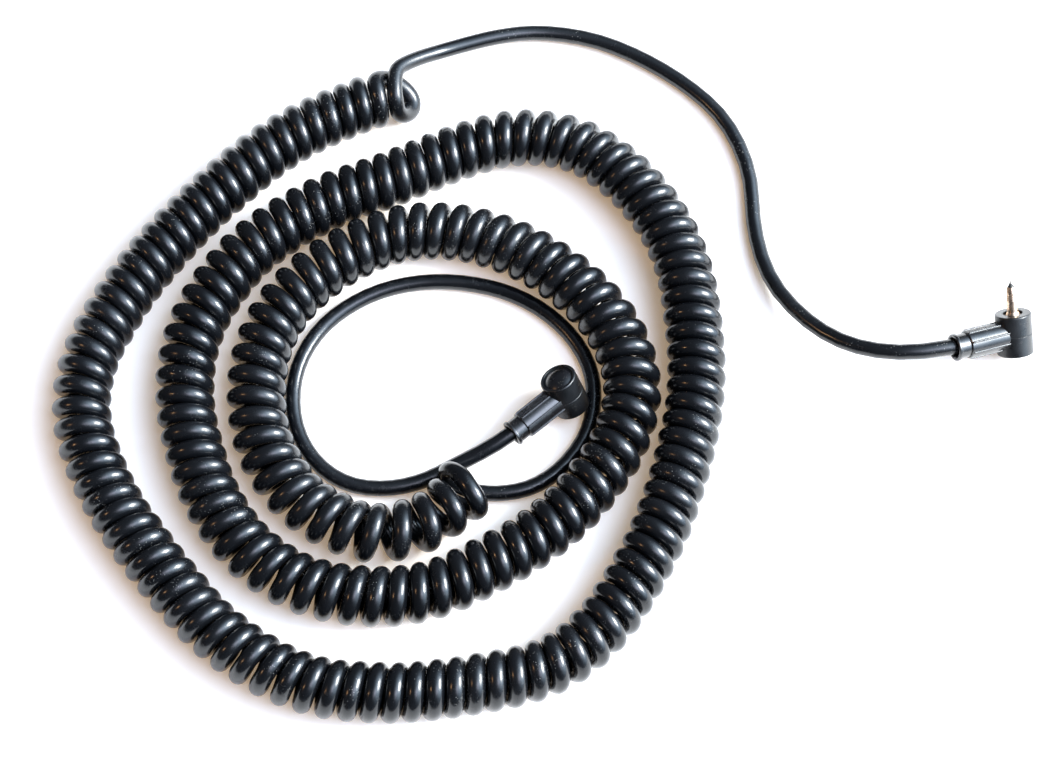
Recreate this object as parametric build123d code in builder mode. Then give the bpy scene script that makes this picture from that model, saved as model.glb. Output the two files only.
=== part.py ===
"""Coiled flash sync extension cord: right-angle pin plug, curly cord, right-angle socket plug.

The cord lies on a table in a spiral of almost three turns. X runs to the right of the layout,
Y away from the reader and Z up; the table is Z = 0, and the origin is below the middle of the
box round the two plugs. All sizes are millimetres.
"""
from build123d import *
import os
from math import pi, radians, sqrt, tan

# ---- driving dimensions -------------------------------------------------------------------
CORD_R = 2.0                 # outside radius of the cord
WOUND_R = 2.35               # and where it is wound into the curly stretch
COIL_R = 7.5                 # outside radius of the curly stretch
HEAD_R = 4.6                 # plug head: radius, and half of its height along the contact
HEAD_HALF = 5.3
WALL = 0.9
SEAM_CHAMFER = 0.12
RIM_ROUND = 0.4
EDGE_ROUND = 0.15

RECESS_R = 2.45              # dished front of the head, with the contact in the middle
RECESS_DEPTH = 0.9
CONTACT_HOLE_R = 2.0
FLANGE_R = 2.8
FLANGE_BACK = 3.0            # heights along the contact axis, from the head's middle
FLANGE_FRONT = 3.4

CAP_R = 3.5                  # pressed-in end cap at the back of the head
CAP_SEAT = 4.3
CAP_EDGE = 4.9
CAP_CROWN = 6.2
CAP_LEDGE_R = 3.1
GROOVE_R = 3.9

SPIGOT_R = 2.9               # barrel: distances along the cord, from the head's middle
SPIGOT_END = 3.4
SPIGOT_OVERLAP = 0.5         # how far the spigot runs into the barrel
BARREL_START = 1.0
BARREL_END = 13.6
BARREL_R = 3.5
BARREL_BORE_R = 2.5
BEADS = 8                    # round beads that stand out along the barrel
BEAD_R = 0.25
BEAD_REACH = 3.55
FLUTE_PITCH = 0.5            # fine flutes on the two sides that face along the contact
FLUTE_DEPTH = 0.2
FLUTES = 4
BARREL_TAPER = 0.5

COLLAR_R = 3.05
COLLAR_SPIGOT_R = 2.8
COLLAR_SPIGOT_START = 11.6
COLLAR_BORE_R = 2.25
COLLAR_MOUTH = 17.1
MOUTH_R = 2.75
MOUTH_DEPTH = 0.9
LIP_R = 3.4
LIP_LENGTH = 0.9
LIP_ROUND = 0.3
CLAMP_START = 8.5            # the cord's jacket ends here, inside the crimped clamp

SLEEVE_R = 1.35              # male contact
SLEEVE_BORE_R = 0.85
SLEEVE_BACK = 1.2
SLEEVE_STEP = 0.2            # above the floor of the dish: the sleeve narrows from here
SLEEVE_SHOULDER = 1.3        # to here
SLEEVE_STRAIGHT_END = 8.6
SLEEVE_WAIST_R = 1.22
GROOVE_START = 9.9           # shallow groove round the sleeve
GROOVE_DEPTH = 0.14
GROOVE_FLANK = 0.1
GROOVE_END = 10.4
SLEEVE_NOSE = 10.9
SLEEVE_NOSE_R = 1.17
SLEEVE_TIP = 12.1
SLEEVE_TIP_WALL = 0.1
SLOT_WIDTH = 0.3
SLOT_START = 8.65
INSULATOR_BACK = 0.4
INSULATOR_NOSE = 13.0
PIN_R = 0.35
PIN_BACK = -0.5
PIN_TIP = 14.1
PIN_TIP_R = 0.12

TUBE_BORE_R = 1.45           # female contact
TUBE_FRONT = 5.0
TUBE_BACK = -0.4
BUSH_TOP = 0.8
RECEPTACLE_R = 0.65
RECEPTACLE_BORE_R = 0.4
RECEPTACLE_FLOOR = 1.5
RECEPTACLE_TOP = 4.2

TAG_BOTTOM = 2.2             # solder tag round the back of either contact
TAG_TOP = 2.6
TAG_R = 2.7
TAG_REACH = 3.3
TAG_WIDTH = 1.2
CORE_WIRE_R = 0.5
CORE_WIRE_END = -0.6
SCREEN_WIRE_R = 0.4
SCREEN_WIRE_START = 1.0
SCREEN_WIRE_GAP = 0.05
SCREEN_WIRE_END = 2.7

# ---- where the plugs lie: middle of the head, the way the contact points, the way the cord leaves
PIN_PLUG_XY = (61.0, 9.3)
PIN_PLUG_CONTACT_WAY = (-0.116, 0.752, 0.649)
PIN_PLUG_CORD_WAY = (-0.921, -0.326, 0.213)
SOCKET_PLUG_XY = (-51.0, -6.8)
SOCKET_PLUG_CONTACT_WAY = (0.358, -0.370, -0.857)
SOCKET_PLUG_CORD_WAY = (-0.770, -0.637, -0.046)
SOCKET_PLUG_LIFT = 0.55      # its rim leans on the cord that passes underneath

# ---- the curly stretch: x, y and z of its axis, and how many turns it has made by that point
COIL_ROUTE = [
    (-92.5, 76.5, 7.5, 0), (-109.0, 70.0, 7.5, 4), (-124.5, 61.0, 7.5, 8),
    (-138.5, 48.0, 7.5, 12), (-150.5, 34.5, 7.5, 16), (-161.5, 19.0, 7.5, 20),
    (-170.0, 1.0, 7.5, 24), (-170.5, -15.0, 7.5, 27), (-165.0, -29.5, 7.5, 30),
    (-158.0, -41.5, 7.5, 33), (-146.0, -57.5, 7.5, 37), (-132.5, -72.0, 7.5, 41),
    (-114.0, -82.5, 7.5, 45), (-94.0, -84.5, 7.5, 49), (-75.0, -82.5, 7.5, 53),
    (-55.5, -78.5, 7.5, 57), (-43.0, -69.0, 7.5, 60), (-34.5, -56.0, 7.5, 63),
    (-27.5, -42.5, 7.5, 66), (-21.5, -23.5, 7.5, 70), (-18.0, -4.5, 7.5, 74),
    (-19.0, 15.0, 7.5, 78), (-21.5, 29.5, 7.5, 81), (-27.5, 42.5, 7.5, 84),
    (-37.0, 54.0, 7.5, 87), (-49.0, 62.0, 7.5, 90), (-64.0, 63.5, 7.5, 93),
    (-78.0, 59.0, 7.5, 96), (-94.5, 51.5, 7.5, 100), (-111.5, 45.0, 7.5, 104),
    (-127.5, 34.5, 7.5, 108), (-137.0, 23.0, 7.5, 111), (-144.0, 9.0, 7.5, 114),
    (-145.5, -7.0, 7.5, 117), (-142.5, -21.5, 7.5, 120), (-137.5, -35.5, 7.5, 123),
    (-128.5, -48.5, 7.5, 126), (-115.0, -57.5, 7.5, 129), (-99.0, -60.5, 7.5, 132),
    (-83.5, -59.0, 7.5, 135), (-69.5, -52.0, 7.5, 138), (-56.5, -44.0, 7.5, 141),
    (-46.0, -33.5, 7.5, 144), (-37.0, -20.0, 7.5, 147), (-33.5, -4.5, 7.5, 150),
    (-38.5, 11.0, 7.5, 153), (-49.0, 23.0, 7.5, 156), (-61.5, 31.5, 7.5, 159),
    (-75.5, 36.5, 7.5, 162), (-90.5, 37.0, 7.5, 165), (-104.5, 31.5, 7.5, 168),
    (-117.0, 22.0, 7.5, 171), (-125.5, 9.0, 7.5, 174), (-128.0, -7.0, 7.5, 177),
    (-125.0, -23.0, 7.5, 180), (-115.5, -36.5, 7.5, 183), (-101.5, -44.0, 7.5, 186),
    (-90.0, -43.2, 7.5, 188), (-82.0, -39.0, 7.7, 189.5), (-76.7, -32.5, 8.0, 191),
]

# ---- the two straight stretches, from beside the plug or the coil towards the other end
PIN_TAIL_ROUTE = [
    (23.6, 3.2, 9.5), (11.5, 10.5, 6.0), (1.0, 24.0, 3.0), (-3.0, 39.5, 2.0), (-3.0, 56.0, 2.0),
    (-9.0, 71.0, 2.0), (-19.0, 81.0, 2.0), (-31.0, 89.0, 2.0), (-43.5, 94.5, 2.0),
    (-56.5, 95.8, 2.5), (-69.0, 93.5, 5.0),
]
SOCKET_TAIL_ROUTE = [
    (-81.0, -31.7, 4.6), (-74.5, -31.0, 2.7), (-67.0, -31.7, 2.0), (-59.0, -30.2, 2.0),
    (-51.5, -25.0, 2.0), (-45.5, -16.5, 2.0), (-43.6, -8.0, 2.0), (-44.1, 1.0, 2.0),
    (-48.5, 10.0, 2.0), (-56.0, 17.5, 2.0), (-65.0, 22.5, 2.0), (-75.0, 25.0, 2.0),
    (-85.5, 25.5, 2.0), (-96.0, 23.5, 2.0), (-105.0, 19.0, 2.0), (-112.5, 12.5, 2.0),
    (-117.5, 3.5, 2.0), (-119.0, -6.0, 2.0), (-117.5, -15.5, 2.0), (-112.5, -24.0, 2.0),
    (-104.5, -29.5, 2.0), (-95.0, -30.5, 2.0), (-86.0, -28.5, 2.0), (-78.0, -24.3, 2.4),
]
TAIL_SIDE = 4.4              # where the pin plug's tail leaves the coil's end face
TAIL_RISE = 3.2
TAIL_LEAD = 13.0             # straight lead out of that face
PIN_LEAD = 23.0              # straight lead out of either plug, from the head's middle
SOCKET_LEAD = 20.0


def plug_frame(xy, contact_way, cord_way, lift=0.0):
    """Plane at the head's middle: z along the contact, x along the cord, rim lifted off the table."""
    z = Vector(contact_way).normalized()
    x = Vector(cord_way)
    x = (x - z * x.dot(z)).normalized()
    tilt = sqrt(1 - z.Z**2)
    rim = (HEAD_HALF - RIM_ROUND) * abs(z.Z) + (HEAD_R - RIM_ROUND) * tilt + RIM_ROUND
    return Plane(origin=(*xy, rim + lift), x_dir=x, z_dir=z)


def at(frame, x, z=0.0, y=0.0):
    """A point of the plug's frame, in the layout."""
    return frame.from_local_coords(Vector(x, y, z))


def profile_plane(frame):
    """Plane through the contact axis and the cord axis: sketch x is radius, sketch y is height."""
    return Plane(origin=frame.origin, x_dir=frame.x_dir, z_dir=-frame.y_dir)


def cord_plane(frame, x):
    """Plane square to the cord axis, x millimetres from the head's middle."""
    return Plane(origin=at(frame, x), x_dir=frame.y_dir, z_dir=frame.x_dir)


def keep(piece, name):
    """Label one finished piece and write it as its own node."""
    piece.part.label = name
    export_step(piece.part, f"parts/{name}.step")
    return piece.part


def turn(frame, axis, outline, rounded=()):
    """A turned solid: an outline of (distance along x, distance along z) points spun about an axis.

    Each entry of rounded is a corner of the outline and the radius that rounds it.
    """
    with BuildPart() as solid:
        with BuildSketch(profile_plane(frame)) as section:
            with BuildLine():
                Polyline(*outline, close=True)
            make_face()
            for corner, radius in rounded:
                fillet(section.vertices().sort_by_distance(corner)[0], radius)
        revolve(axis=axis)
    return solid.part


def spin(frame, outline, name, rounded=(), cut=None):
    """Keep a piece turned about the contact axis, less the cut if there is one."""
    turned = turn(frame, Axis(frame.origin, frame.z_dir), outline, rounded)
    with BuildPart() as piece:
        add(turned)
        if cut:
            add(cut, mode=Mode.SUBTRACT)
    return keep(piece, name)


# ---- head -----------------------------------------------------------------------------------
def spigot_hole(frame):
    """The round hole in the head's side that takes the barrel's spigot."""
    with BuildPart() as hole:
        with BuildSketch(cord_plane(frame, 0)):
            Circle(SPIGOT_R)
        extrude(amount=HEAD_R + 1)
    return hole.part


def front_shell(frame, name):
    floor = HEAD_HALF - RECESS_DEPTH
    outline = [
        (HEAD_R - WALL, 0), (HEAD_R - SEAM_CHAMFER, 0), (HEAD_R, SEAM_CHAMFER),
        (HEAD_R, HEAD_HALF), (RECESS_R, HEAD_HALF), (RECESS_R, floor), (CONTACT_HOLE_R, floor),
        (CONTACT_HOLE_R, FLANGE_FRONT), (HEAD_R - WALL, FLANGE_FRONT),
    ]
    rounded = [((HEAD_R, HEAD_HALF), RIM_ROUND), ((RECESS_R, HEAD_HALF), EDGE_ROUND)]
    return spin(frame, outline, f"{name}_front_shell", rounded, cut=spigot_hole(frame))


def back_shell(frame, name):
    outline = [
        (HEAD_R - WALL, 0), (HEAD_R - SEAM_CHAMFER, 0), (HEAD_R, -SEAM_CHAMFER),
        (HEAD_R, -HEAD_HALF), (GROOVE_R, -HEAD_HALF), (GROOVE_R, -CAP_EDGE), (CAP_R, -CAP_EDGE),
        (CAP_R, -CAP_SEAT), (CAP_LEDGE_R, -CAP_SEAT), (CAP_LEDGE_R, WALL - CAP_EDGE),
        (HEAD_R - WALL, WALL - CAP_EDGE),
    ]
    rounded = [((HEAD_R, -HEAD_HALF), RIM_ROUND), ((GROOVE_R, -HEAD_HALF), EDGE_ROUND)]
    return spin(frame, outline, f"{name}_back_shell", rounded, cut=spigot_hole(frame))


def end_cap(frame, name):
    with BuildPart() as cap:
        with BuildSketch(profile_plane(frame)):
            with BuildLine():
                Polyline((0, -CAP_CROWN), (0, -CAP_SEAT), (CAP_R, -CAP_SEAT), (CAP_R, -CAP_EDGE))
                TangentArc((0, -CAP_CROWN), (CAP_R, -CAP_EDGE), tangent=(1, 0))
            make_face()
        revolve(axis=Axis(frame.origin, frame.z_dir))
    return keep(cap, f"{name}_end_cap")


# ---- barrel and cord entry ------------------------------------------------------------------
def barrel(frame, name):
    """Round barrel that fits against the head, with eight beads along it and two fluted sides."""
    cord_axis = Axis(frame.origin, frame.x_dir)
    beads_reach = BEAD_REACH + BEAD_R
    outline = [
        (BARREL_START, 0), (BARREL_START, beads_reach), (BARREL_END - BARREL_TAPER, beads_reach),
        (BARREL_END, beads_reach - BARREL_TAPER), (BARREL_END, 0),
    ]
    envelope = turn(frame, cord_axis, outline)
    with BuildPart() as piece:
        with BuildSketch(cord_plane(frame, BARREL_START)):
            Circle(BARREL_R)
            with PolarLocations(BEAD_REACH, BEADS, start_angle=180 / BEADS):
                Circle(BEAD_R)
            with Locations((0, BARREL_R), (0, -BARREL_R)):
                with GridLocations(FLUTE_PITCH, 1, FLUTES, 1):
                    Rectangle(FLUTE_PITCH / 2, 2 * FLUTE_DEPTH, mode=Mode.SUBTRACT)
        extrude(amount=BARREL_END - BARREL_START)
        add(envelope, mode=Mode.INTERSECT)
        with BuildSketch(frame):
            Circle(HEAD_R)
        extrude(amount=BARREL_END, both=True, mode=Mode.SUBTRACT)
        with BuildSketch(cord_plane(frame, SPIGOT_END)):
            Circle(SPIGOT_R)
        extrude(amount=HEAD_R - SPIGOT_END + SPIGOT_OVERLAP)
        with BuildSketch(cord_plane(frame, 0)):
            Circle(BARREL_BORE_R)
        extrude(amount=BARREL_END, mode=Mode.SUBTRACT)
        with BuildSketch(cord_plane(frame, COLLAR_SPIGOT_START)):
            Circle(COLLAR_SPIGOT_R)
        extrude(amount=BARREL_END - COLLAR_SPIGOT_START, mode=Mode.SUBTRACT)
    return keep(piece, f"{name}_barrel")


def spin_on_cord(frame, outline, name, rounded=()):
    """Keep a piece turned about the cord axis."""
    turned = turn(frame, Axis(frame.origin, frame.x_dir), outline, rounded)
    with BuildPart() as piece:
        add(turned)
    return keep(piece, name)


def collar(frame, name):
    lip = COLLAR_MOUTH - LIP_LENGTH
    outline = [
        (COLLAR_SPIGOT_START, COLLAR_BORE_R), (COLLAR_SPIGOT_START, COLLAR_SPIGOT_R),
        (BARREL_END, COLLAR_SPIGOT_R), (BARREL_END, COLLAR_R), (lip, COLLAR_R), (lip, LIP_R),
        (COLLAR_MOUTH, LIP_R), (COLLAR_MOUTH, MOUTH_R),
        (COLLAR_MOUTH - MOUTH_DEPTH, COLLAR_BORE_R),
    ]
    rounded = [((lip, LIP_R), LIP_ROUND), ((COLLAR_MOUTH, LIP_R), LIP_ROUND)]
    return spin_on_cord(frame, outline, f"{name}_collar", rounded)


def cord_clamp(frame, name):
    outline = [
        (CLAMP_START, CORD_R), (CLAMP_START, BARREL_BORE_R),
        (COLLAR_SPIGOT_START, BARREL_BORE_R), (COLLAR_SPIGOT_START, CORD_R),
    ]
    return spin_on_cord(frame, outline, f"{name}_cord_clamp")


# ---- contacts -------------------------------------------------------------------------------
def contact_slots(frame):
    """Two slots along the male sleeve, which let it spring."""
    with BuildPart() as slots:
        with BuildSketch(frame.offset(SLOT_START)):
            with GridLocations(2 * SLEEVE_R, 1, 2, 1):
                Rectangle(2 * SLEEVE_R, SLOT_WIDTH)
            Circle(SLEEVE_BORE_R, mode=Mode.SUBTRACT)
        extrude(amount=SLEEVE_TIP)
    return slots.part


def contact_sleeve(frame, name):
    floor = HEAD_HALF - RECESS_DEPTH
    groove_r = SLEEVE_WAIST_R - GROOVE_DEPTH
    outline = [
        (SLEEVE_BORE_R, SLEEVE_BACK), (CONTACT_HOLE_R, SLEEVE_BACK), (CONTACT_HOLE_R, FLANGE_BACK),
        (FLANGE_R, FLANGE_BACK), (FLANGE_R, FLANGE_FRONT), (CONTACT_HOLE_R, FLANGE_FRONT),
        (CONTACT_HOLE_R, floor + SLEEVE_STEP), (SLEEVE_R, floor + SLEEVE_SHOULDER),
        (SLEEVE_R, SLEEVE_STRAIGHT_END), (SLEEVE_WAIST_R, GROOVE_START),
        (groove_r, GROOVE_START + GROOVE_FLANK), (groove_r, GROOVE_END - GROOVE_FLANK),
        (SLEEVE_WAIST_R, GROOVE_END), (SLEEVE_NOSE_R, SLEEVE_NOSE),
        (SLEEVE_BORE_R + SLEEVE_TIP_WALL, SLEEVE_TIP), (SLEEVE_BORE_R, SLEEVE_TIP),
    ]
    return spin(frame, outline, f"{name}_contact_sleeve", cut=contact_slots(frame))


def sleeve_insulator(frame, name):
    outline = [
        (PIN_R, INSULATOR_BACK), (CONTACT_HOLE_R, INSULATOR_BACK), (CONTACT_HOLE_R, SLEEVE_BACK),
        (SLEEVE_BORE_R, SLEEVE_BACK), (SLEEVE_BORE_R, SLEEVE_TIP), (PIN_R, INSULATOR_NOSE),
    ]
    return spin(frame, outline, f"{name}_insulator")


def centre_pin(frame, name):
    outline = [
        (0, PIN_BACK), (PIN_R, PIN_BACK), (PIN_R, INSULATOR_NOSE), (PIN_TIP_R, PIN_TIP),
        (0, PIN_TIP),
    ]
    return spin(frame, outline, f"{name}_centre_pin")


def contact_tube(frame, name):
    outline = [
        (TUBE_BORE_R, TUBE_BACK), (CONTACT_HOLE_R, TUBE_BACK), (CONTACT_HOLE_R, FLANGE_BACK),
        (FLANGE_R, FLANGE_BACK), (FLANGE_R, FLANGE_FRONT), (CONTACT_HOLE_R, FLANGE_FRONT),
        (CONTACT_HOLE_R, TUBE_FRONT), (TUBE_BORE_R, TUBE_FRONT),
    ]
    return spin(frame, outline, f"{name}_contact_tube")


def tube_insulator(frame, name):
    outline = [
        (PIN_R, TUBE_BACK), (TUBE_BORE_R, TUBE_BACK), (TUBE_BORE_R, BUSH_TOP), (PIN_R, BUSH_TOP),
    ]
    return spin(frame, outline, f"{name}_insulator")


def centre_contact(frame, name):
    outline = [
        (0, PIN_BACK), (PIN_R, PIN_BACK), (PIN_R, BUSH_TOP), (RECEPTACLE_R, BUSH_TOP),
        (RECEPTACLE_R, RECEPTACLE_TOP), (RECEPTACLE_BORE_R, RECEPTACLE_TOP),
        (RECEPTACLE_BORE_R, RECEPTACLE_FLOOR), (0, RECEPTACLE_FLOOR),
    ]
    return spin(frame, outline, f"{name}_centre_contact")


# ---- wiring inside the head -----------------------------------------------------------------
def earth_tag(frame, name):
    """Ring round the contact with a tab towards the cord, for the screen wire."""
    with BuildPart() as tag:
        with BuildSketch(frame.offset(TAG_BOTTOM)):
            Circle(TAG_R)
            with Locations((TAG_REACH / 2, 0)):
                Rectangle(TAG_REACH, TAG_WIDTH)
            Circle(CONTACT_HOLE_R, mode=Mode.SUBTRACT)
        extrude(amount=TAG_TOP - TAG_BOTTOM)
    return keep(tag, f"{name}_earth_tag")


def wire(start, end, radius, name):
    """One straight conductor from the end of the jacket to its solder joint."""
    way = end - start
    with BuildPart() as conductor:
        with BuildSketch(Plane(origin=start, z_dir=way)):
            Circle(radius)
        extrude(amount=way.length)
    return keep(conductor, name)


def wires(frame, name):
    core_height = PIN_BACK - CORE_WIRE_R
    wire(at(frame, CLAMP_START, core_height), at(frame, CORE_WIRE_END, core_height),
         CORE_WIRE_R, f"{name}_core_wire")
    screen_height = TAG_BOTTOM - SCREEN_WIRE_R - SCREEN_WIRE_GAP
    wire(at(frame, CLAMP_START, SCREEN_WIRE_START), at(frame, SCREEN_WIRE_END, screen_height),
         SCREEN_WIRE_R, f"{name}_screen_wire")


# ---- cord -----------------------------------------------------------------------------------
def corner_radii(points):
    """The largest arc that each corner's two runs allow."""
    radii = []
    for before, corner, after in zip(points, points[1:], points[2:]):
        run_in = corner - before
        run_out = after - corner
        half_turn = radians(run_in.get_angle(run_out)) / 2
        radii.append(0.45 * min(run_in.length, run_out.length) / tan(half_turn))
    return radii


def tube(points, radius, name, trim=None):
    """A tube of straight runs joined by tangent arcs; trim is a solid that it butts against."""
    points = [Vector(point) for point in points]
    radii = corner_radii(points)
    with BuildPart() as piece:
        with BuildLine() as path:
            FilletPolyline(*points, radius=radii)
        route = path.wires()[0]
        with BuildSketch(Plane(origin=route @ 0, z_dir=route % 0)):
            Circle(radius)
        sweep()
        filled = piece.part.volume / (pi * radius**2 * route.length)
        print(f"{name}: {route.length:.0f} mm, corner radii {min(radii):.0f} to "
              f"{max(radii):.0f} mm, volume / (section x length) = {filled:.4f}")
        if trim:
            add(trim, mode=Mode.SUBTRACT)
    return keep(piece, name)


def wire_in_coil():
    """Length of the cord wound into the curly stretch."""
    turn = 2 * pi * (COIL_R - WOUND_R)
    length = 0.0
    for here, there in zip(COIL_ROUTE, COIL_ROUTE[1:]):
        advance = (Vector(there[:3]) - Vector(here[:3])).length
        turns = there[3] - here[3]
        length += sqrt((turn * turns) ** 2 + advance**2)
    return length


os.makedirs("parts", exist_ok=True)
pin_frame = plug_frame(PIN_PLUG_XY, PIN_PLUG_CONTACT_WAY, PIN_PLUG_CORD_WAY)
socket_frame = plug_frame(SOCKET_PLUG_XY, SOCKET_PLUG_CONTACT_WAY, SOCKET_PLUG_CORD_WAY,
                          SOCKET_PLUG_LIFT)

for plug, plug_name in ((pin_frame, "pin_plug"), (socket_frame, "socket_plug")):
    front_shell(plug, plug_name)
    back_shell(plug, plug_name)
    end_cap(plug, plug_name)
    barrel(plug, plug_name)
    collar(plug, plug_name)
    cord_clamp(plug, plug_name)
    earth_tag(plug, plug_name)
    wires(plug, plug_name)

contact_sleeve(pin_frame, "pin_plug")
sleeve_insulator(pin_frame, "pin_plug")
centre_pin(pin_frame, "pin_plug")
contact_tube(socket_frame, "socket_plug")
tube_insulator(socket_frame, "socket_plug")
centre_contact(socket_frame, "socket_plug")

coil_axis = [Vector(point[:3]) for point in COIL_ROUTE]
coil = tube(coil_axis, COIL_R, "curly_cord")
coil_way = (coil_axis[0] - coil_axis[1]).normalized()
coil_side = Vector(0, 0, 1).cross(coil_way)
tail_root = coil_axis[0] + coil_side * TAIL_SIDE + Vector(0, 0, TAIL_RISE)
pin_tail = [at(pin_frame, CLAMP_START), at(pin_frame, PIN_LEAD), *PIN_TAIL_ROUTE,
            tail_root + coil_way * TAIL_LEAD, tail_root]
tube(pin_tail, CORD_R, "pin_tail")
socket_tail = [*SOCKET_TAIL_ROUTE, at(socket_frame, SOCKET_LEAD), at(socket_frame, CLAMP_START)]
tube(socket_tail, CORD_R, "socket_tail", trim=coil)
print(f"cord wound into the curly stretch: {wire_in_coil():.0f} mm")
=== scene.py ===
"""Coiled flash sync cord, laid in a spiral: the look of it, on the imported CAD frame.

The cord is one smooth line from the pin plug, through a curly stretch of about 191 turns, to
the socket plug. Lengths are in metres, in the frame of the CAD model.
"""
import bpy
from math import cos, pi, radians, sin
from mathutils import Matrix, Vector, noise


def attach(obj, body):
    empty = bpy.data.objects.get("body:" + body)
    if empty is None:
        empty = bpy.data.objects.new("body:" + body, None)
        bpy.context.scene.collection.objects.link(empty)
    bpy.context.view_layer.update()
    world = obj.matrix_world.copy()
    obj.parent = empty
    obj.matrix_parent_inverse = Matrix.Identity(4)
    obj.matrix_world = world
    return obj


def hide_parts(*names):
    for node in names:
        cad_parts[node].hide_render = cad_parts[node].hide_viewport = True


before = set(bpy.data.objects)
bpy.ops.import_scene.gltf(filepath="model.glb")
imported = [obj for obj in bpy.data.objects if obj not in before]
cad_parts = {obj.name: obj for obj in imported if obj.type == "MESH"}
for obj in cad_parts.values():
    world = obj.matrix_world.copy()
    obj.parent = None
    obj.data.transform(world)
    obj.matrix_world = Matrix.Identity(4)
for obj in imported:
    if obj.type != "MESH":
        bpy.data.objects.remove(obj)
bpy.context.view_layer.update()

MM = 0.001
CORD_R = 2.0 * MM
WOUND_R = 2.35 * MM           # the jacket is a little fatter where it is wound
TOUCH = 0.98                  # turns side by side take up this much of the space between them
HELIX_R = 5.15 * MM
POINTS_PER_TURN = 14
CORD_STEPS = 3                # how finely the cord is drawn from point to point
CORD_ROUNDNESS = 6            # and round its section
ROUTE_STEP = 24               # points read from each span of the coil's axis
ROUTE_BEHIND = 2              # how many of those points give the axis's direction
ROUTE_AHEAD = 3
FIRST_TURN = 0.5              # where the cord joins and leaves the helix, counted in turns
LAST_TURN = 190.7
TUCK_END = 0.85               # the beginning of the first turn is tucked against the next
TUCK_LEAN = 0.2 * MM
BOW_START = 187.0             # between these turns the tops of the loose last ones come to lean
BOW_END = 188.5
BOW = 1.0 * MM
SLACK = 0.12 * MM             # small unevenness from turn to turn
SLACK_PER_TURN = 1.3          # how fast it changes
TURN_ZERO = 1.5 * pi          # a whole turn ends at the bottom of the coil
# where a loose turn opens out: from, to, and how far along the coil's axis and across it
OPENINGS = [
    (0.70, 1.45, -6.8 * MM, 2.9 * MM), (189.60, 190.20, -0.7 * MM, 0.0),
    (189.95, 190.70, -1.3 * MM, -1.2 * MM), (190.45, 191.05, 1.6 * MM, 0.0),
]

# ---- the cord's route: the CAD model's, with the last turns and both plug ends adjusted -------
# x, y and z of the coil's axis, and how many turns it has made by that point; most of these
# points are a measuring script's, rounded to half a millimetre, and the others were set by hand
COIL_ROUTE = [
    (-0.0925, 0.0765, 0.0075, 0), (-0.1090, 0.0700, 0.0075, 4), (-0.1245, 0.0610, 0.0075, 8),
    (-0.1385, 0.0480, 0.0075, 12), (-0.1505, 0.0345, 0.0075, 16),
    (-0.1615, 0.0190, 0.0075, 20), (-0.1700, 0.0010, 0.0075, 24),
    (-0.1705, -0.0150, 0.0075, 27), (-0.1650, -0.0295, 0.0075, 30),
    (-0.1580, -0.0415, 0.0075, 33), (-0.1460, -0.0575, 0.0075, 37),
    (-0.1325, -0.0720, 0.0075, 41), (-0.1140, -0.0825, 0.0075, 45),
    (-0.0940, -0.0845, 0.0075, 49), (-0.0750, -0.0825, 0.0075, 53),
    (-0.0555, -0.0785, 0.0075, 57), (-0.0430, -0.0690, 0.0075, 60),
    (-0.0345, -0.0560, 0.0075, 63), (-0.0275, -0.0425, 0.0075, 66),
    (-0.0215, -0.0235, 0.0075, 70), (-0.0180, -0.0045, 0.0075, 74),
    (-0.0190, 0.0150, 0.0075, 78), (-0.0215, 0.0295, 0.0075, 81),
    (-0.0275, 0.0425, 0.0075, 84), (-0.0370, 0.0540, 0.0075, 87),
    (-0.0490, 0.0620, 0.0075, 90), (-0.0640, 0.0635, 0.0075, 93),
    (-0.0780, 0.0590, 0.0075, 96), (-0.0945, 0.0515, 0.0075, 100),
    (-0.1115, 0.0450, 0.0075, 104), (-0.1275, 0.0345, 0.0075, 108),
    (-0.1370, 0.0230, 0.0075, 111), (-0.1440, 0.0090, 0.0075, 114),
    (-0.1455, -0.0070, 0.0075, 117), (-0.1425, -0.0215, 0.0075, 120),
    (-0.1375, -0.0355, 0.0075, 123), (-0.1285, -0.0485, 0.0075, 126),
    (-0.1150, -0.0575, 0.0075, 129), (-0.0990, -0.0605, 0.0075, 132),
    (-0.0835, -0.0590, 0.0075, 135), (-0.0695, -0.0520, 0.0075, 138),
    (-0.0565, -0.0440, 0.0075, 141), (-0.0460, -0.0335, 0.0075, 144),
    (-0.0370, -0.0200, 0.0075, 147), (-0.0335, -0.0045, 0.0075, 150),
    (-0.0385, 0.0110, 0.0075, 153), (-0.0490, 0.0230, 0.0075, 156),
    (-0.0615, 0.0315, 0.0075, 159), (-0.0755, 0.0365, 0.0075, 162),
    (-0.0905, 0.0370, 0.0075, 165), (-0.1045, 0.0315, 0.0075, 168),
    (-0.1170, 0.0220, 0.0075, 171), (-0.1255, 0.0090, 0.0075, 174),
    (-0.1280, -0.0070, 0.0075, 177), (-0.1250, -0.0230, 0.0075, 180),
    (-0.1155, -0.0365, 0.0075, 183), (-0.1010, -0.0440, 0.0075, 186),
    (-0.0920, -0.0435, 0.0075, 187.25), (-0.0859, -0.0414, 0.0075, 188.25),
    (-0.0809, -0.0379, 0.0075, 189.25), (-0.0763, -0.0329, 0.0076, 190.25),
    (-0.0742, -0.0295, 0.0078, 191),
]
PIN_TAIL_ROUTE = [
    (0.0531, 0.0066, 0.0087), (0.0396, 0.0018, 0.0118), (0.0236, 0.0032, 0.0095),
    (0.0115, 0.0105, 0.0060), (0.0010, 0.0240, 0.0030), (-0.0030, 0.0395, 0.0020),
    (-0.0030, 0.0560, 0.0020), (-0.0090, 0.0710, 0.0020), (-0.0190, 0.0810, 0.0020),
    (-0.0310, 0.0890, 0.0020), (-0.0435, 0.0945, 0.0020), (-0.0575, 0.0962, 0.0025),
]
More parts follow.
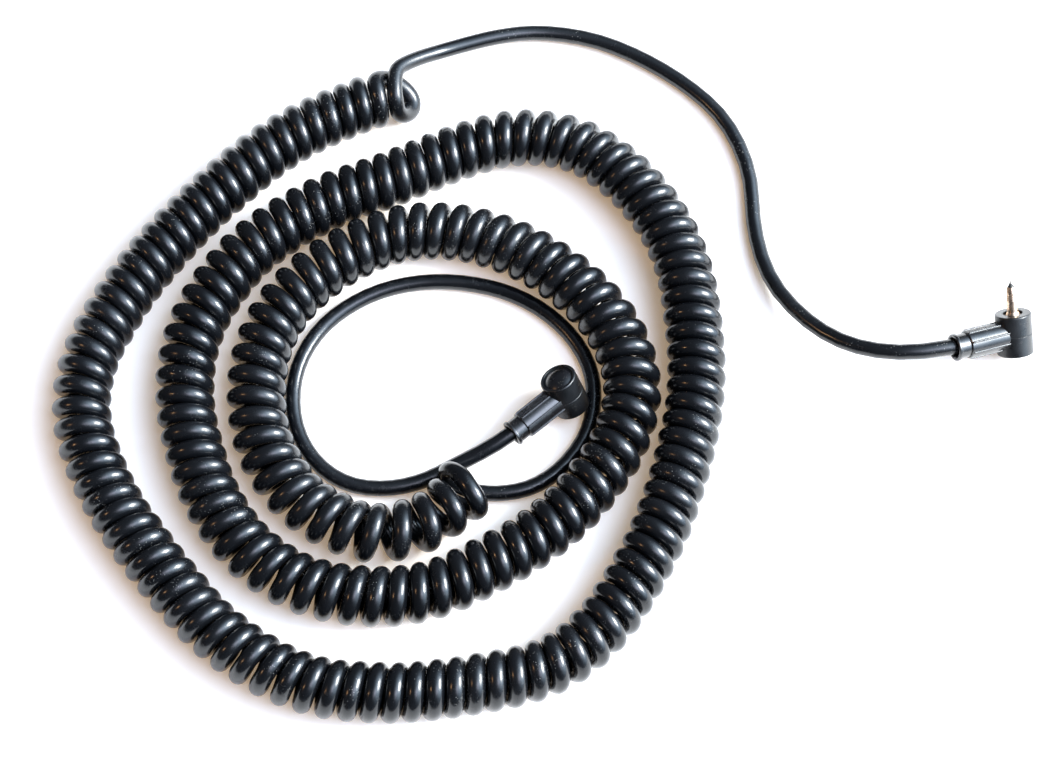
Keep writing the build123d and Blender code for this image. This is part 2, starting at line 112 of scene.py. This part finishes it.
SOCKET_TAIL_ROUTE = [
    (-0.0670, -0.0317, 0.0020), (-0.0590, -0.0302, 0.0020),
    (-0.0515, -0.0250, 0.0020), (-0.0455, -0.0165, 0.0020), (-0.0436, -0.0080, 0.0020),
    (-0.0441, 0.0010, 0.0020), (-0.0485, 0.0100, 0.0020), (-0.0560, 0.0175, 0.0020),
    (-0.0650, 0.0225, 0.0020), (-0.0750, 0.0250, 0.0020), (-0.0855, 0.0255, 0.0020),
    (-0.0960, 0.0235, 0.0020), (-0.1050, 0.0190, 0.0020), (-0.1125, 0.0125, 0.0020),
    (-0.1175, 0.0035, 0.0020), (-0.1190, -0.0060, 0.0020), (-0.1175, -0.0155, 0.0020),
    (-0.1125, -0.0240, 0.0020), (-0.1045, -0.0295, 0.0020), (-0.0950, -0.0305, 0.0020),
    (-0.0860, -0.0285, 0.0020), (-0.0780, -0.0243, 0.0024), (-0.0664, -0.0195, 0.0064),
    (-0.0575, -0.0122, 0.0069),
]
# where the straight stretches rise into the coil and drop out of it: points given one by one
OUTER_END = [
    (-0.0674, 0.0941, 0.0040), (-0.0751, 0.0915, 0.0050), (-0.0829, 0.0882, 0.0065),
    (-0.0877, 0.0853, 0.0090), (-0.0917, 0.0824, 0.0110), (-0.0942, 0.0796, 0.0126),
]
INNER_END = [
    (-0.0786, -0.0285, 0.0108), (-0.0801, -0.0277, 0.0086), (-0.0801, -0.0282, 0.0063),
    (-0.0785, -0.0294, 0.0041), (-0.0761, -0.0304, 0.0026), (-0.0730, -0.0312, 0.0020),
]

# ---- camera ---------------------------------------------------------------------------------
CAMERA_TARGET = Vector((-0.0609, -0.0005, 0.0))
CAMERA_DISTANCE = 0.825
CAMERA_TILT = 22.0            # degrees away from straight down
CAMERA_LENS = 113.14


def add_camera():
    """The photograph's view: from above and a little in front."""
    data = bpy.data.cameras.new("camera")
    data.lens = CAMERA_LENS
    data.clip_start = 0.05
    camera = bpy.data.objects.new("camera", data)
    tilt = radians(CAMERA_TILT)
    camera.location = CAMERA_TARGET + CAMERA_DISTANCE * Vector((0, -sin(tilt), cos(tilt)))
    camera.rotation_euler = (tilt, 0, 0)
    bpy.context.collection.objects.link(camera)
    bpy.context.scene.camera = camera


# ---- cord -----------------------------------------------------------------------------------
def nurbs_curve(name, points, steps):
    """A curve object of one open NURBS spline with these control points."""
    curve = bpy.data.curves.new(name, "CURVE")
    curve.dimensions = "3D"
    spline = curve.splines.new("NURBS")
    spline.points.add(len(points) - 1)
    for knot, point in zip(spline.points, points):
        knot.co = (*point, 1)
    spline.order_u = 3
    spline.use_endpoint_u = True
    spline.resolution_u = steps
    made = bpy.data.objects.new(name, curve)
    bpy.context.collection.objects.link(made)
    return made


def read_points(points, steps):
    """The points of the smooth NURBS line with these control points."""
    curve = nurbs_curve("route", points, steps)
    bpy.context.view_layer.update()
    mesh = bpy.data.meshes.new_from_object(curve)
    line = [vertex.co.copy() for vertex in mesh.vertices]
    bpy.data.meshes.remove(mesh)
    bpy.data.objects.remove(curve)
    return line


def lean(turn, angle):
    """How far a point of the coil's loose ends is moved along the coil's axis and across it."""
    along = 0.0
    loose = min(1.0, max(0.0, (turn - BOW_START) / (BOW_END - BOW_START)))
    across = -BOW * loose * max(0.0, sin(angle))
    if turn < TUCK_END:
        along += TUCK_LEAN * (1 - (turn - FIRST_TURN) ** 2 / (TUCK_END - FIRST_TURN) ** 2)
    for start, end, out, sideways in OPENINGS:
        if start < turn < end:
            opened = sin(pi * (turn - start) / (end - start)) ** 2
            along += out * opened
            across += sideways * opened
    return along, across


def helix():
    """The cord's own points round the coil's axis; the coil is wound left-handed."""
    axis = read_points([point[:3] for point in COIL_ROUTE], ROUTE_STEP)
    turns = [point.x for point in read_points([(t, 0, 0) for *_, t in COIL_ROUTE], ROUTE_STEP)]
    radius = HELIX_R / cos(pi / POINTS_PER_TURN)
    points = []
    here = 0
    for number in range(int(FIRST_TURN * POINTS_PER_TURN) + 1, int(LAST_TURN * POINTS_PER_TURN)):
        turn = number / POINTS_PER_TURN
        while here < len(turns) - 2 and turns[here + 1] < turn:
            here += 1
        part = (turn - turns[here]) / (turns[here + 1] - turns[here])
        centre = axis[here].lerp(axis[here + 1], part)
        last = min(here + ROUTE_AHEAD, len(axis) - 1)
        ahead = (axis[last] - axis[max(here - ROUTE_BEHIND, 0)]).normalized()
        side = Vector((0, 0, 1)).cross(ahead).normalized()
        up = ahead.cross(side)
        angle = TURN_ZERO - 2 * pi * turn
        slack = SLACK * noise.noise((SLACK_PER_TURN * turn, 0.0, 0.0))
        round_coil = (radius - abs(slack)) * (cos(angle) * side + sin(angle) * up)
        along, across = lean(turn, angle)
        points.append(centre + round_coil + (along + slack) * ahead + across * side)
    return points


def strand_radius(wound, number):
    """The strand's radius at one point of the helix: less where the turns beside it are close."""
    gaps = [(wound[number] - wound[other]).length
            for other in (number - POINTS_PER_TURN, number + POINTS_PER_TURN)
            if 0 <= other < len(wound)]
    return min(WOUND_R, TOUCH * min(gaps) / 2)


def add_cord():
    """The whole cord as one spline, with its own thickness at every point."""
    wound = helix()
    points = [*PIN_TAIL_ROUTE, *OUTER_END, *wound, *INNER_END, *SOCKET_TAIL_ROUTE]
    cord = nurbs_curve("sync_cord", points, CORD_STEPS)
    first_wound = len(PIN_TAIL_ROUTE) + len(OUTER_END)
    for number, knot in enumerate(cord.data.splines[0].points):
        turned = number - first_wound
        knot.radius = strand_radius(wound, turned) if 0 <= turned < len(wound) else CORD_R
    cord.data.bevel_depth = 1.0
    cord.data.bevel_resolution = CORD_ROUNDNESS
    cord.data.use_fill_caps = True
    return cord


add_camera()
sync_cord = add_cord()
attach(sync_cord, "root")
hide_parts("pin_tail", "curly_cord", "socket_tail")


# ---- materials ------------------------------------------------------------------------------
class Nodes:
    """A material under construction: one shader, and short ways to add what feeds it."""

    def __init__(self, name, colour, roughness, metallic=0.0):
        self.material = bpy.data.materials.new(name)
        self.material.use_nodes = True
        self.tree = self.material.node_tree
        self.shader = self.tree.nodes["Principled BSDF"]
        self.set(self.shader, "Base Color", (*colour, 1))
        self.set(self.shader, "Roughness", roughness)
        self.set(self.shader, "Metallic", metallic)
        self.place = self.tree.nodes.new("ShaderNodeTexCoord").outputs["Object"]

    def set(self, node, socket, value):
        """Give a socket another node's output, or a plain value."""
        if isinstance(value, bpy.types.NodeSocket):
            self.tree.links.new(value, node.inputs[socket])
        else:
            node.inputs[socket].default_value = value

    def noise(self, scale, detail=3.0, stretch=(1, 1, 1)):
        """Noise of the given scale per metre, stretched along the axes."""
        mapping = self.tree.nodes.new("ShaderNodeMapping")
        self.set(mapping, "Vector", self.place)
        self.set(mapping, "Scale", stretch)
        node = self.tree.nodes.new("ShaderNodeTexNoise")
        self.set(node, "Vector", mapping.outputs["Vector"])
        self.set(node, "Scale", scale)
        self.set(node, "Detail", detail)
        return node.outputs["Fac"]

    def specks(self, scale, size):
        """Scattered small round spots, 1 inside a spot and 0 outside."""
        node = self.tree.nodes.new("ShaderNodeTexVoronoi")
        self.set(node, "Vector", self.place)
        self.set(node, "Scale", scale)
        return self.ramp(node.outputs["Distance"], size, 1.3 * size, 1.0, 0.0)

    def ramp(self, source, low, high, start, end):
        """Map low..high of the source to start..end, and hold the ends."""
        node = self.tree.nodes.new("ShaderNodeMapRange")
        self.set(node, "Value", source)
        self.set(node, "From Min", low)
        self.set(node, "From Max", high)
        self.set(node, "To Min", start)
        self.set(node, "To Max", end)
        return node.outputs["Result"]

    def times(self, one, other):
        """Multiply two values."""
        node = self.tree.nodes.new("ShaderNodeMath")
        node.operation = "MULTIPLY"
        self.tree.links.new(one, node.inputs[0])
        self.tree.links.new(other, node.inputs[1])
        return node.outputs["Value"]

    def mix(self, amount, one, other):
        """Blend two colours."""
        node = self.tree.nodes.new("ShaderNodeMix")
        node.data_type = "RGBA"
        self.tree.links.new(amount, node.inputs["Factor"])
        for socket, colour in ((node.inputs[6], one), (node.inputs[7], other)):
            if isinstance(colour, bpy.types.NodeSocket):
                self.tree.links.new(colour, socket)
            else:
                socket.default_value = (*colour, 1)
        return node.outputs[2]

    def bump(self, height, distance, before=None):
        """A normal bumped by a height, on top of another normal if one is given."""
        node = self.tree.nodes.new("ShaderNodeBump")
        self.set(node, "Height", height)
        self.set(node, "Distance", distance)
        if before:
            self.set(node, "Normal", before)
        return node.outputs["Normal"]

    def soft_edges(self, radius):
        """A normal that rounds the piece's sharp edges."""
        node = self.tree.nodes.new("ShaderNodeBevel")
        node.samples = 6
        self.set(node, "Radius", radius)
        return node.outputs["Normal"]


def glossy_jacket():
    """Glossy black vinyl: orange peel, dull patches from handling, hairline scuffs and dust."""
    look = Nodes("cord_jacket", (0.003, 0.003, 0.004), 0.25)
    look.set(look.shader, "Specular IOR Level", 0.42)
    handled = look.noise(45, 4)
    dust = look.specks(1500, 0.16)
    dust = look.times(dust, look.ramp(look.noise(110, 3), 0.57, 0.66, 0.0, 0.6))
    shade = look.mix(look.ramp(handled, 0.35, 0.7, 0.0, 1.0), (0.0022, 0.0026, 0.0034),
                     (0.0042, 0.0048, 0.0060))
    look.set(look.shader, "Base Color", look.mix(dust, shade, (0.16, 0.16, 0.15)))
    scuffs = look.ramp(look.noise(900, 2, (1, 1, 0.12)), 0.62, 0.74, 0.0, 0.7)
    dull = look.mix(scuffs, look.ramp(handled, 0.35, 0.7, 0.18, 0.27), (0.45, 0.45, 0.45))
    look.set(look.shader, "Roughness", dull)
    peel = look.bump(look.noise(1400, 2), 0.00002)
    look.set(look.shader, "Normal", look.bump(handled, 0.0002, peel))
    return look.material


def moulded_plastic(name, colour, roughness, grain, edge=0.12 * MM, shine=0.5):
    """Moulded plastic: fine grain, rounded edges, faint mottling, a little dust and wear."""
    look = Nodes(name, colour, roughness)
    look.set(look.shader, "Specular IOR Level", shine)
    mottle = look.noise(260, 4)
    dust = look.specks(2200, 0.14)
    dust = look.times(dust, look.ramp(look.noise(300, 2), 0.5, 0.6, 0.0, 0.3))
    lighter = tuple(1.9 * channel for channel in colour)
    shade = look.mix(look.ramp(mottle, 0.35, 0.7, 0.0, 1.0), colour, lighter)
    look.set(look.shader, "Base Color", look.mix(dust, shade, (0.30, 0.28, 0.25)))
    look.set(look.shader, "Roughness",
             look.ramp(mottle, 0.3, 0.7, 0.85 * roughness, 1.25 * roughness))
    edges = look.soft_edges(edge)
    look.set(look.shader, "Normal", look.bump(look.noise(5000, 3), grain, edges))
    return look.material


def plated_metal(name, colour, roughness):
    """Plated metal: fine turning marks, slight tarnish, rounded edges."""
    look = Nodes(name, colour, roughness, 1.0)
    look.set(look.shader, "Specular Tint", (*colour, 1))
    tarnish = look.noise(700, 4)
    darker = tuple(0.55 * channel for channel in colour)
    look.set(look.shader, "Base Color",
             look.mix(look.ramp(tarnish, 0.4, 0.75, 0.0, 1.0), colour, darker))
    look.set(look.shader, "Roughness",
             look.ramp(tarnish, 0.3, 0.7, 0.7 * roughness, 1.6 * roughness))
    edges = look.soft_edges(0.05 * MM)
    look.set(look.shader, "Normal", look.bump(look.noise(4000, 3), 0.00002, edges))
    return look.material


matt_black = moulded_plastic("matt_black_plastic", (0.003, 0.0034, 0.004), 0.30, 0.00004)
cap_black = moulded_plastic("polished_black_plastic", (0.003, 0.0032, 0.004), 0.24, 0.000006)
barrel_black = moulded_plastic("barrel_black_plastic", (0.0035, 0.0035, 0.004), 0.26, 0.00001,
                               edge=0.06 * MM, shine=0.8)
satin_black = moulded_plastic("satin_black_plastic", (0.005, 0.005, 0.005), 0.5, 0.00001)
nickel = plated_metal("nickel_plate", (0.72, 0.54, 0.40), 0.27)
steel = plated_metal("pin_steel", (0.22, 0.20, 0.18), 0.35)
brass = plated_metal("brass", (0.72, 0.54, 0.28), 0.3)
copper = plated_metal("tinned_copper", (0.72, 0.42, 0.28), 0.35)
LOOKS = {
    "front_shell": matt_black, "back_shell": matt_black, "end_cap": cap_black,
    "barrel": barrel_black, "collar": barrel_black, "insulator": satin_black,
    "contact_sleeve": nickel, "centre_pin": steel, "contact_tube": nickel,
    "centre_contact": nickel, "cord_clamp": brass, "earth_tag": brass,
    "core_wire": copper, "screen_wire": copper,
}
sync_cord.data.materials.append(glossy_jacket())
for name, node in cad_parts.items():
    for piece, look in LOOKS.items():
        if name.endswith(piece):
            node.data.materials.clear()
            node.data.materials.append(look)


# ---- floor and light ------------------------------------------------------------------------
WINDOW_WAY = (0.82, 0.06, 0.58)         # directions from the cord
CEILING_WAY = (0.38, -0.33, 0.87)
# where each glow comes from, how fast it falls off, its peak strength and its colour
GLOWS = [
    (WINDOW_WAY, 6.0, 13.0, (0.60, 0.79, 1.0)), (CEILING_WAY, 30.0, 7.0, (0.80, 0.80, 1.0)),
]
ROOM_COLOUR = (0.12, 0.13, 0.15)
FLOOR_SIZE = 4.0
LAMP_WAY = (-0.75, -0.2, 0.6)
# how far off each light is, its size, its power in watts and its colour
WINDOW_LIGHT = (1.5, (0.7, 0.55), 64.0, (1.0, 0.96, 0.88))
LAMP_LIGHT = (1.6, (0.14, 0.14), 2.6, (1.0, 0.55, 0.25))


def table_look():
    """White laminate: faint mottling, a fine grain, and a painted warm glow of its own that
    lightens and tints its shade.
    """
    look = Nodes("white_table", (0.86, 0.86, 0.85), 0.6)
    mottle = look.noise(30, 4)
    look.set(look.shader, "Base Color", look.mix(mottle, (0.88, 0.88, 0.87), (0.84, 0.84, 0.83)))
    look.set(look.shader, "Normal", look.bump(look.noise(2500, 2), 0.00002))
    # painted warm light: the table gives off a little light of its own, so its shadows turn tan
    look.set(look.shader, "Emission Color", (1.0, 0.70, 0.40, 1))
    look.set(look.shader, "Emission Strength", 0.3)
    return look.material


def add_floor():
    """The table top that the cord lies on."""
    bpy.ops.mesh.primitive_grid_add(x_subdivisions=8, y_subdivisions=8, size=FLOOR_SIZE)
    floor = bpy.context.object
    floor.name = "table_top"
    floor.data.materials.append(table_look())


def add_area(name, direction, distance, size, energy, colour):
    """A soft rectangular light in this direction from the middle of the cord."""
    data = bpy.data.lights.new(name, "AREA")
    data.shape = "RECTANGLE"
    data.size, data.size_y = size
    data.energy = energy
    data.color = colour
    light = bpy.data.objects.new(name, data)
    way = Vector(direction).normalized()
    light.location = CAMERA_TARGET + distance * way
    light.rotation_euler = way.to_track_quat("Z", "Y").to_euler()
    bpy.context.collection.objects.link(light)


def add_glow(tree, direction, falloff, peak, colour, below):
    """Add light that comes from round one direction to what the world already shows."""
    towards = tree.nodes.new("ShaderNodeVectorMath")
    towards.operation = "DOT_PRODUCT"
    towards.inputs[1].default_value = Vector(direction).normalized()
    way = tree.nodes.new("ShaderNodeTexCoord").outputs["Generated"]
    tree.links.new(way, towards.inputs[0])
    last = towards.outputs["Value"]
    for operation, number in (("MAXIMUM", 0.0), ("POWER", falloff), ("MULTIPLY", peak)):
        step = tree.nodes.new("ShaderNodeMath")
        step.operation = operation
        step.inputs[1].default_value = number
        tree.links.new(last, step.inputs[0])
        last = step.outputs["Value"]
    glow = tree.nodes.new("ShaderNodeBackground")
    glow.inputs["Color"].default_value = (*colour, 1)
    tree.links.new(last, glow.inputs["Strength"])
    both = tree.nodes.new("ShaderNodeAddShader")
    tree.links.new(below, both.inputs[0])
    tree.links.new(glow.outputs["Background"], both.inputs[1])
    return both.outputs["Shader"]


def add_world():
    """A dim cool room, a large window that glows on the right, and a patch of bright ceiling."""
    world = bpy.data.worlds.new("world")
    bpy.context.scene.world = world
    world.use_nodes = True
    tree = world.node_tree
    room = tree.nodes["Background"]
    room.inputs["Color"].default_value = (*ROOM_COLOUR, 1)
    seen = room.outputs["Background"]
    for direction, falloff, peak, colour in GLOWS:
        seen = add_glow(tree, direction, falloff, peak, colour, seen)
    tree.links.new(seen, tree.nodes["World Output"].inputs["Surface"])


add_floor()
add_area("window", WINDOW_WAY, *WINDOW_LIGHT)
add_area("lamp", LAMP_WAY, *LAMP_LIGHT)
add_world()
bpy.context.scene.view_settings.view_transform = "Standard"
